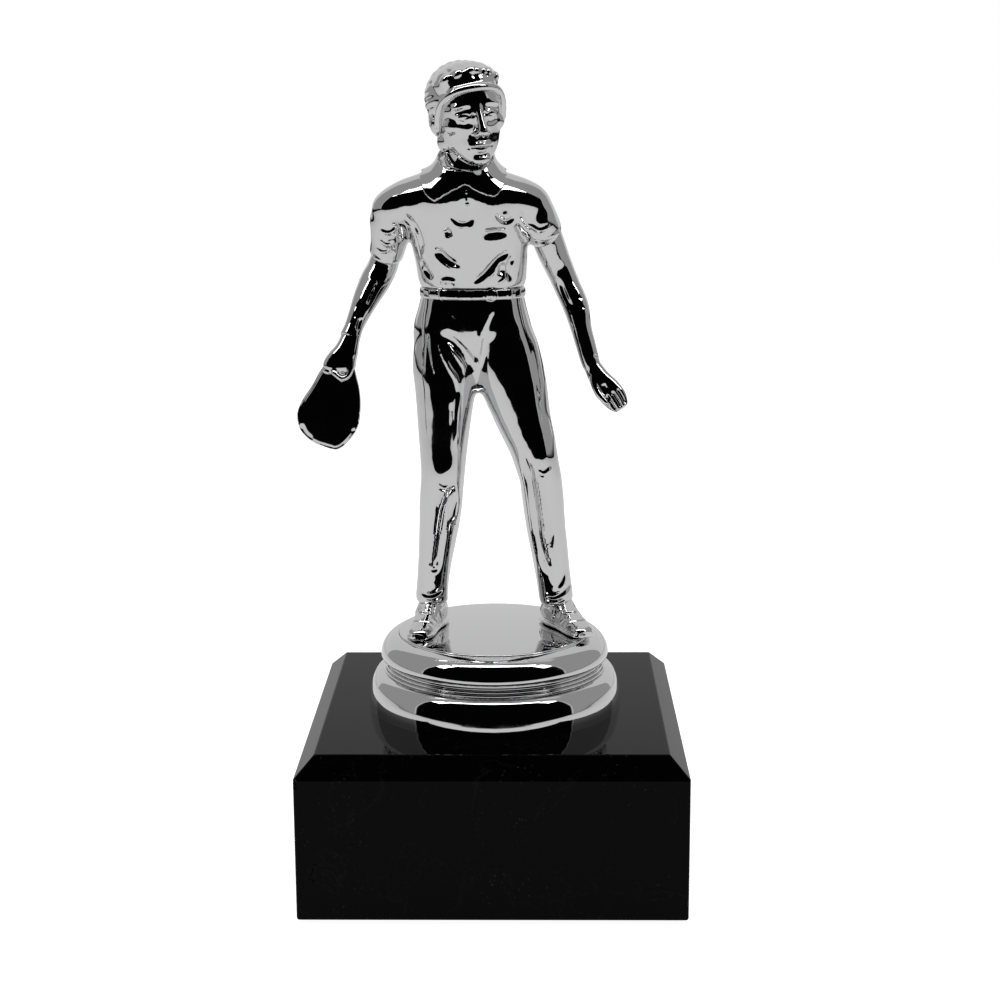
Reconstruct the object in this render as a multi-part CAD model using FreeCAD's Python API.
"""Figure trophy: a plated table tennis player on a two-step round riser, bolted to a stone block.

Units are millimetres.  +Z is up, the figure looks along -Y, and the origin is the middle of the
felt's underside, on the axis of the stud that draws the whole trophy together.
"""

import FreeCAD, Part
import math
import os

V = FreeCAD.Vector
UP = V(0, 0, 1)

# ---------------------------------------------------------------- driving dimensions
block_width = 70.0
block_height = 30.0
block_chamfer = 3.5  # the wide polished chamfer round the top
block_arris = 0.5  # the narrow eased edges everywhere else

felt_thickness = 0.8
felt_inset = 2.0  # from the block's sides
felt_corner = 2.0

riser_height = 14.2  # from the block to the top of the figure's plate
riser_wall = 2.0
lower_moulding = [  # (radius, height above the block): a steep wall that rounds over at the top
    (24.05, 0.0),
    (24.0, 1.45),
    (23.9, 2.45),
    (23.73, 3.5),
    (23.36, 4.9),
    (22.75, 6.0),
    (22.1, 6.6),
    (21.4, 6.95),
]
bead_count = 3  # thin rings stepping in between the two mouldings
bead_height = 0.56
bead_step = 0.4
bead_bulge = 0.2
upper_moulding_edge = (21.45, 9.15)  # where the upper moulding overhangs the rings
upper_moulding_radius = 4.1
upper_moulding_centre = (17.6, 9.75)
rim_angle = 80.0  # degrees above level at which the upper moulding meets the rim
riser_side_wall = 1.4  # round the plate's seat

plate_radius = 18.2
plate_thickness = 2.0
plate_fit = 0.05  # play of the plate and its spigot in the riser
spigot_radius = 5.0
spigot_length = 9.0
plate_skin = 1.5  # left above the tapped bore
plate_edge_round = 0.3

thread_radius = 3.0  # M6
thread_pitch = 1.0
thread_depth = 0.45
thread_fit = 0.02  # play on the thread's outside
groove_share = 0.8  # of the pitch, measured at twice the thread's depth
stud_tip = 0.6  # chamfer on both ends
clearance_hole_radius = 3.5
counterbore_radius = 7.2
counterbore_depth = 10.0
washer_radius = 6.0
washer_bore_radius = 3.2
washer_thickness = 1.6
nut_across_flats = 10.0
nut_height = 5.0
stud_below_nut = 1.5
stud_short_of_bore_end = 1.0

bat_blade_half_width = 6.1
bat_blade_thickness = 1.3
bat_handle_radius = 1.3

# ---------------------------------------------------------------- the figure's pose
# Each station is (x, y, height above the plate, half width, half depth), in order along the limb.
right_shoe_heel, right_shoe_toe = (-11.2, 7.2), (-14.3, -8.6)
left_shoe_heel, left_shoe_toe = (10.4, 7.0), (17.2, -7.2)
shoe_roundness = 0.6  # a section's half height as a share of the shoe's height there
shoe_sections = [  # share of the length, half width, height above the plate
    (0.00, 1.5, 2.9),
    (0.08, 2.4, 4.3),
    (0.30, 2.75, 5.7),
    (0.50, 2.5, 4.9),
    (0.68, 2.5, 3.6),
    (0.86, 2.45, 2.7),
    (0.96, 1.9, 2.0),
    (1.00, 1.1, 1.3),
]
right_leg_stations = [
    (-8.2, 1.0, 52.0, 5.6, 6.2),
    (-8.8, 0.0, 46.5, 5.8, 6.3),
    (-9.2, -1.1, 39.0, 4.7, 5.6),
    (-9.4, -1.9, 32.5, 4.05, 5.0),
    (-9.8, -0.1, 25.5, 4.1, 4.6),
    (-10.8, 1.7, 17.0, 3.5, 4.1),
    (-11.9, 2.8, 7.7, 3.1, 3.8),
    (-12.1, 3.0, 4.4, 3.3, 4.1),
]
left_leg_stations = [
    (2.6, 1.0, 52.0, 6.0, 6.2),
    (4.0, 0.0, 45.5, 6.1, 6.2),
    (6.4, -1.1, 38.5, 4.8, 5.6),
    (8.1, -1.8, 32.5, 4.05, 5.0),
    (9.2, 0.1, 24.5, 3.95, 4.6),
    (10.3, 1.8, 16.0, 3.6, 4.1),
    (11.5, 2.8, 8.0, 3.3, 3.8),
    (11.9, 3.0, 4.4, 3.5, 4.1),
]
hips_stations = [
    (-3.7, 1.3, 63.3, 9.6, 6.6),
    (-3.8, 1.6, 60.0, 10.6, 7.2),
    (-3.8, 1.7, 55.0, 11.7, 7.6),
    (-3.3, 1.5, 50.0, 12.3, 7.3),
    (-2.9, 1.1, 46.6, 11.4, 6.2),
]
belt_stations = [
    (-3.7, 1.3, 63.3, 9.9, 6.9),
    (-3.7, 1.25, 64.3, 9.9, 6.9),
    (-3.7, 1.2, 65.3, 9.8, 6.8),
]
torso_stations = [
    (-3.7, 1.2, 65.3, 9.6, 6.5),
    (-3.8, 0.9, 68.5, 9.9, 6.9),
    (-4.3, -0.1, 74.0, 11.2, 7.7),
    (-4.6, -1.1, 78.5, 12.4, 8.0),
    (-4.7, -1.8, 82.0, 12.5, 8.0),
    (-4.7, -2.3, 85.2, 9.8, 6.7),
    (-4.6, -2.5, 87.4, 6.0, 5.0),
]
neck_stations = [
    (-4.5, -2.4, 85.0, 4.6, 4.3),
    (-4.4, -3.2, 88.0, 4.4, 4.3),
    (-4.4, -3.6, 91.0, 4.3, 4.3),
]
right_upper_arm_stations = [
    (-13.5, -1.8, 82.0, 3.6, 3.4),
    (-16.8, -1.5, 81.8, 4.3, 4.3),
    (-18.2, -0.6, 78.0, 4.2, 4.4),
    (-19.0, 1.0, 73.5, 3.6, 3.8),
    (-19.9, 2.6, 69.5, 3.0, 3.2),
]
right_forearm_stations = [
    (-19.9, 2.6, 69.5, 2.7, 2.9),
    (-22.0, 0.9, 66.0, 2.7, 2.9),
    (-23.9, -1.0, 62.2, 2.35, 2.5),
    (-25.7, -3.1, 58.4, 1.9, 2.1),
]
right_hand_stations = [
    (-25.1, -2.5, 59.6, 1.4, 1.6),
    (-26.2, -3.9, 56.9, 2.6, 2.5),
    (-26.8, -4.7, 54.4, 3.3, 2.9),
    (-27.2, -5.2, 52.4, 3.1, 2.7),
    (-27.4, -5.4, 51.1, 1.8, 1.6),
]
left_upper_arm_stations = [
    (4.0, -1.8, 82.0, 3.6, 3.4),
    (7.3, -1.5, 81.8, 4.2, 4.3),
    (8.9, -0.6, 78.0, 4.0, 4.4),
    (10.4, 1.0, 73.0, 3.4, 3.8),
    (12.1, 2.0, 68.8, 2.9, 3.1),
]
left_forearm_stations = [
    (12.1, 2.0, 68.8, 2.6, 2.9),
    (14.1, 1.2, 64.0, 2.4, 2.8),
    (16.2, -0.8, 58.0, 2.05, 2.3),
    (18.0, -2.9, 51.6, 1.72, 1.75),
]
left_hand_stations = [
    (18.0, -2.9, 51.6, 1.72, 1.75),
    (19.4, -3.9, 48.9, 2.0, 1.5),
    (20.9, -4.8, 46.4, 2.4, 1.3),
    (22.3, -5.4, 44.3, 2.1, 1.1),
    (23.2, -5.8, 42.9, 1.3, 0.8),
]
head_centre = (-4.5, -5.0, 96.9)
head_half_size = (7.1, 8.2, 9.3)
head_roll = -7.0  # degrees about Y: crown towards the figure's right
head_nod = 6.0  # degrees about X: face slightly down
head_turn = 20.0  # degrees about Z: face towards the figure's left

bat_top = (-26.3, -4.1, 57.0)
bat_throat = (-28.1, -5.7, 50.4)
bat_middle = (-30.2, -6.0, 42.9)
bat_outline = [  # along the blade from its middle and out to its edge, in half widths
    (-1.28, 0.42),
    (-0.72, 0.76),
    (0.0, 1.0),
    (0.62, 0.86),
    (1.02, 0.48),
    (1.17, 0.0),
]

# ---------------------------------------------------------------- levels
block_bottom = felt_thickness
block_top = block_bottom + block_height
ground = block_top + riser_height  # the plate's top, which the shoes stand on
seat_level = ground - plate_thickness  # the riser's recess that carries the plate
spigot_end = seat_level - spigot_length
counterbore_ledge = block_bottom + counterbore_depth
washer_bottom = counterbore_ledge - washer_thickness
nut_bottom = washer_bottom - nut_height
stud_bottom = nut_bottom - stud_below_nut
tapped_bore_end = ground - plate_skin
stud_top = tapped_bore_end - stud_short_of_bore_end

RING_POINTS = 16  # points on each closed section of the figure


# ---------------------------------------------------------------- helpers
def save(name, shape):
    """Writes one node, and stops if it isn't a set of sound closed solids."""
    if not shape.isValid() or not shape.Solids:
        raise ValueError(name + " is not a valid solid")
    solids = shape.Solids
    kept = solids[0] if len(solids) == 1 else Part.makeCompound(solids)
    kept.exportStep("parts/" + name + ".step")
    print(f"{name}: {len(solids)} solid(s), {sum(s.Volume for s in solids):.1f} mm3")


def turned(points_and_curves):
    """A solid of revolution about Z from edges that close in the XZ plane."""
    profile = Part.Wire(Part.__sortEdges__(points_and_curves))
    return Part.Face(profile).revolve(V(0, 0, 0), UP, 360)


def line(a, b):
    """A straight edge in the XZ plane between two (radius, height) points."""
    return Part.makeLine(V(a[0], 0, a[1]), V(b[0], 0, b[1]))


def arc(a, middle, b):
    """A circular edge in the XZ plane through three (radius, height) points."""
    return Part.Arc(*(V(r, 0, z) for r, z in (a, middle, b))).toShape()


def cylinder(radius, low, high):
    """A cylinder on the trophy's axis between two heights."""
    return Part.makeCylinder(radius, high - low, V(0, 0, low))


def oval(centre, across, up):
    """A closed smooth section about a centre, given its two half axes as vectors."""
    angles = [2 * math.pi * i / RING_POINTS for i in range(RING_POINTS)]
    points = [centre + across * math.cos(a) + up * math.sin(a) for a in angles]
    curve = Part.BSplineCurve()
    curve.interpolate(Points=points, PeriodicFlag=True)
    return Part.Wire(curve.toShape())


def limb(stations, level_sections=False):
    """A smooth solid through stations, its sections square to the path or, for the trunk, level."""
    centres = [V(x, y, ground + h) for x, y, h, _, _ in stations]
    last = len(centres) - 1
    rings = []
    for i, (_, _, _, half_width, half_depth) in enumerate(stations):
        along = (centres[min(i + 1, last)] - centres[max(i - 1, 0)]).normalize()
        if level_sections:
            along = UP
        sideways = (V(1, 0, 0) - along * along.x).normalize()
        deep = along.cross(sideways)
        rings.append(oval(centres[i], sideways * half_width, deep * half_depth))
    return Part.makeLoft(rings, True, False)


def largest(shape):
    """The largest solid that a cut leaves."""
    return max(shape.Solids, key=lambda solid: solid.Volume)


# ---------------------------------------------------------------- block and felt
def marble_block():
    """Chamfered stone block with a stud hole and a counterbore from below."""
    half = block_width / 2
    block = Part.makeBox(block_width, block_width, block_height, V(-half, -half, block_bottom))
    top_edges = [e for e in block.Edges if e.BoundBox.ZMin > block_top - 0.01]
    block = block.makeChamfer(block_chamfer, top_edges)
    chamfer_foot = block_top - block_chamfer
    low_edges = [e for e in block.Edges if e.CenterOfMass.z < chamfer_foot - 0.01]
    block = block.makeChamfer(block_arris, low_edges)
    block = block.cut(cylinder(clearance_hole_radius, block_bottom, block_top))
    return block.cut(cylinder(counterbore_radius, block_bottom, counterbore_ledge))


def felt_pad():
    """Rounded square of felt glued under the block, over the counterbore."""
    half = block_width / 2 - felt_inset
    pad = Part.makeBox(2 * half, 2 * half, felt_thickness, V(-half, -half, 0))
    corners = [e for e in pad.Edges if e.BoundBox.ZLength > felt_thickness / 2]
    return pad.makeFillet(felt_corner, corners)


# ---------------------------------------------------------------- fastening
def threaded_stud():
    """M6 stud, its thread as annular grooves of the real pitch and depth."""
    core = cylinder(thread_radius, stud_bottom, stud_top)
    core = core.makeChamfer(stud_tip, [e for e in core.Edges if len(e.Vertexes) == 1])
    grooves = []
    turns = int((stud_top - stud_bottom - 2 * stud_tip) / thread_pitch)
    for i in range(turns):
        low = stud_bottom + stud_tip + i * thread_pitch
        middle = low + thread_pitch / 2
        outside = thread_radius + thread_depth
        root = thread_radius - thread_depth
        half = thread_pitch * groove_share / 2
        grooves.append(
            turned(
                [
                    line((outside, middle - half), (root, middle)),
                    line((root, middle), (outside, middle + half)),
                    line((outside, middle + half), (outside, middle - half)),
                ]
            )
        )
    return core.cut(Part.makeCompound(grooves))


def flat_washer():
    """Plain washer between the nut and the counterbore's ledge."""
    disc = cylinder(washer_radius, washer_bottom, counterbore_ledge)
    return disc.cut(cylinder(washer_bore_radius, washer_bottom, counterbore_ledge))


def hex_nut():
    """Hexagon nut with chamfered corners on both sides."""
    corner = nut_across_flats / 2 / math.cos(math.pi / 6)
    points = [
        V(corner * math.cos(math.radians(a)), corner * math.sin(math.radians(a)), nut_bottom)
        for a in range(0, 361, 60)
    ]
    body = Part.Face(Part.makePolygon(points)).extrude(UP * nut_height)
    drop = (corner - nut_across_flats / 2) * math.tan(math.radians(30))
    reach = corner - nut_across_flats / 2
    low, high, flat = nut_bottom, nut_bottom + nut_height, nut_across_flats / 2
    turned_blank = turned(
        [
            line((0, low), (flat, low)),
            line((flat, low), (flat + reach, low + drop)),
            line((flat + reach, low + drop), (flat + reach, high - drop)),
            line((flat + reach, high - drop), (flat, high)),
            line((flat, high), (0, high)),
            line((0, high), (0, low)),
        ]
    )
    return body.common(turned_blank).cut(cylinder(thread_radius + thread_fit, low, high))


# ---------------------------------------------------------------- riser
def riser():
    """Hollow two-step round riser: lower roll, three thin beads, upper roll and the plate's seat."""
    lower = [V(radius, 0, block_top + height) for radius, height in lower_moulding]
    wall = Part.BSplineCurve()
    wall.interpolate(lower)
    edges = [wall.toShape()]

    radius, level = lower[-1].x, lower[-1].z
    for _ in range(bead_count):
        inner = radius - bead_step
        edges.append(line((radius, level), (inner, level)))
        middle = (inner + bead_bulge, level + bead_height / 2)
        edges.append(arc((inner, level), middle, (inner, level + bead_height)))
        radius, level = inner, level + bead_height
    overhang_radius, overhang_level = upper_moulding_edge[0], block_top + upper_moulding_edge[1]
    edges.append(line((radius, level), (radius, overhang_level)))
    edges.append(line((radius, overhang_level), (overhang_radius, overhang_level)))

    centre_radius, centre_level = upper_moulding_centre[0], block_top + upper_moulding_centre[1]

    def on_upper(angle):
        reach, rise = math.cos(math.radians(angle)), math.sin(math.radians(angle))
        return (
            centre_radius + upper_moulding_radius * reach,
            centre_level + upper_moulding_radius * rise,
        )

    edges.append(line((overhang_radius, overhang_level), on_upper(0)))
    edges.append(arc(on_upper(0), on_upper(rim_angle / 2), on_upper(rim_angle)))
    shoulder, rim_level = on_upper(rim_angle)
    rim_radius = plate_radius + plate_fit
    hole = spigot_radius + plate_fit
    ceiling = seat_level - riser_wall
    inside_top = rim_radius - riser_side_wall
    inside_low = lower[0].x - riser_wall
    shelf = lower[-1].z - riser_wall
    edges += [
        line((shoulder, rim_level), (rim_radius, rim_level)),
        line((rim_radius, rim_level), (rim_radius, seat_level)),
        line((rim_radius, seat_level), (hole, seat_level)),
        line((hole, seat_level), (hole, ceiling)),
        line((hole, ceiling), (inside_top, ceiling)),
        line((inside_top, ceiling), (inside_top, shelf)),
        line((inside_top, shelf), (inside_low, block_top)),
        line((inside_low, block_top), (lower[0].x, block_top)),
    ]
    return turned(edges)


# ---------------------------------------------------------------- figure casting
def figure_plate():
    """Round ground plate with the tapped spigot that drops through the riser."""
    plate = cylinder(plate_radius, seat_level, ground)
    rim = [e for e in plate.Edges if e.BoundBox.ZMin > ground - 0.01 and len(e.Vertexes) == 1]
    plate = plate.makeFillet(plate_edge_round, rim)
    plate = plate.fuse(cylinder(spigot_radius, spigot_end, seat_level)).removeSplitter()
    return plate.cut(cylinder(thread_radius + thread_fit, spigot_end, tapped_bore_end))


def shoe(heel, toe):
    """Low shoe from heel to toe, both (x, y), with a flat sole on the plate."""
    heel, toe = V(heel[0], heel[1], 0), V(toe[0], toe[1], 0)
    length = (toe - heel).Length
    along = (toe - heel) / length
    sideways = along.cross(UP)
    wires = []
    for share, half_width, height in shoe_sections:
        half_height = shoe_roundness * height
        centre = heel + along * (share * length) + UP * (ground + height - half_height)
        wires.append(oval(centre, sideways * half_width, UP * half_height))
    body = Part.makeLoft(wires, True, False)
    reach = block_width
    above_plate = Part.makeBox(reach, reach, reach, V(-reach / 2, -reach / 2, ground))
    return largest(body.common(above_plate))


def head():
    """Plain egg of the head's real size, turned and tilted as the head is."""
    egg = Part.makeSphere(1.0)
    stretch = FreeCAD.Matrix()
    stretch.scale(*head_half_size)
    egg = egg.transformGeometry(stretch)
    egg.rotate(V(0, 0, 0), V(1, 0, 0), head_nod)
    egg.rotate(V(0, 0, 0), UP, head_turn)
    egg.rotate(V(0, 0, 0), V(0, 1, 0), head_roll)
    egg.translate(V(head_centre[0], head_centre[1], ground + head_centre[2]))
    return egg


def bat():
    """Bat with an egg-shaped blade and a short round handle, hanging from the right hand."""
    top, throat, middle = (V(x, y, ground + h) for x, y, h in (bat_top, bat_throat, bat_middle))
    down = (middle - throat).normalize()
    sideways = (V(1, 0, 0) - down * down.x).normalize()
    face = down.cross(sideways).normalize()
    half = bat_blade_half_width
    right_side = [middle + down * (a * half) + sideways * (c * half) for a, c in bat_outline]
    left_side = [middle + down * (a * half) - sideways * (c * half) for a, c in bat_outline[-2::-1]]
    edge = Part.BSplineCurve()
    edge.interpolate(right_side + left_side)
    top_edge = Part.makeLine(left_side[-1], right_side[0])
    blade = Part.Face(Part.Wire([edge.toShape(), top_edge]))
    blade.translate(face * (-bat_blade_thickness / 2))
    blade = blade.extrude(face * bat_blade_thickness)
    reach = middle - down * half - top
    handle = Part.makeCylinder(bat_handle_radius, reach.Length, top, reach)
    return largest(blade.fuse(handle).removeSplitter())


def figure():
    """The casting's nodes, each cut back so that neighbours meet face to face."""
    belt = limb(belt_stations, level_sections=True)
    hips = limb(hips_stations, level_sections=True)
    torso = limb(torso_stations, level_sections=True)
    right_leg = largest(limb(right_leg_stations).cut(hips))
    left_leg = largest(limb(left_leg_stations).cut(hips).cut(right_leg))
    right_shoe = largest(shoe(right_shoe_heel, right_shoe_toe).cut(right_leg))
    left_shoe = largest(shoe(left_shoe_heel, left_shoe_toe).cut(left_leg))
    skull = head()
    neck = largest(limb(neck_stations).cut(torso).cut(skull))
    right_upper_arm = largest(limb(right_upper_arm_stations).cut(torso))
    left_upper_arm = largest(limb(left_upper_arm_stations).cut(torso))
    right_forearm = largest(limb(right_forearm_stations).cut(right_upper_arm))
    left_forearm = largest(limb(left_forearm_stations).cut(left_upper_arm))
    whole_bat = bat()
    right_forearm = largest(right_forearm.cut(whole_bat))
    right_hand = largest(limb(right_hand_stations).cut(right_forearm).cut(whole_bat))
    left_hand = largest(limb(left_hand_stations).cut(left_forearm))
    return {
        "hips": hips,
        "belt": belt,
        "torso": torso,
        "neck": neck,
        "head": skull,
        "right_leg": right_leg,
        "left_leg": left_leg,
        "right_shoe": right_shoe,
        "left_shoe": left_shoe,
        "right_upper_arm": right_upper_arm,
        "left_upper_arm": left_upper_arm,
        "right_forearm": right_forearm,
        "left_forearm": left_forearm,
        "right_hand": right_hand,
        "left_hand": left_hand,
        "bat": whole_bat,
    }


os.makedirs("parts", exist_ok=True)
save("marble_block", marble_block())
save("felt_pad", felt_pad())
save("threaded_stud", threaded_stud())
save("flat_washer", flat_washer())
save("hex_nut", hex_nut())
save("riser", riser())
save("figure_plate", figure_plate())
for node, solid in figure().items():
    save(node, solid)
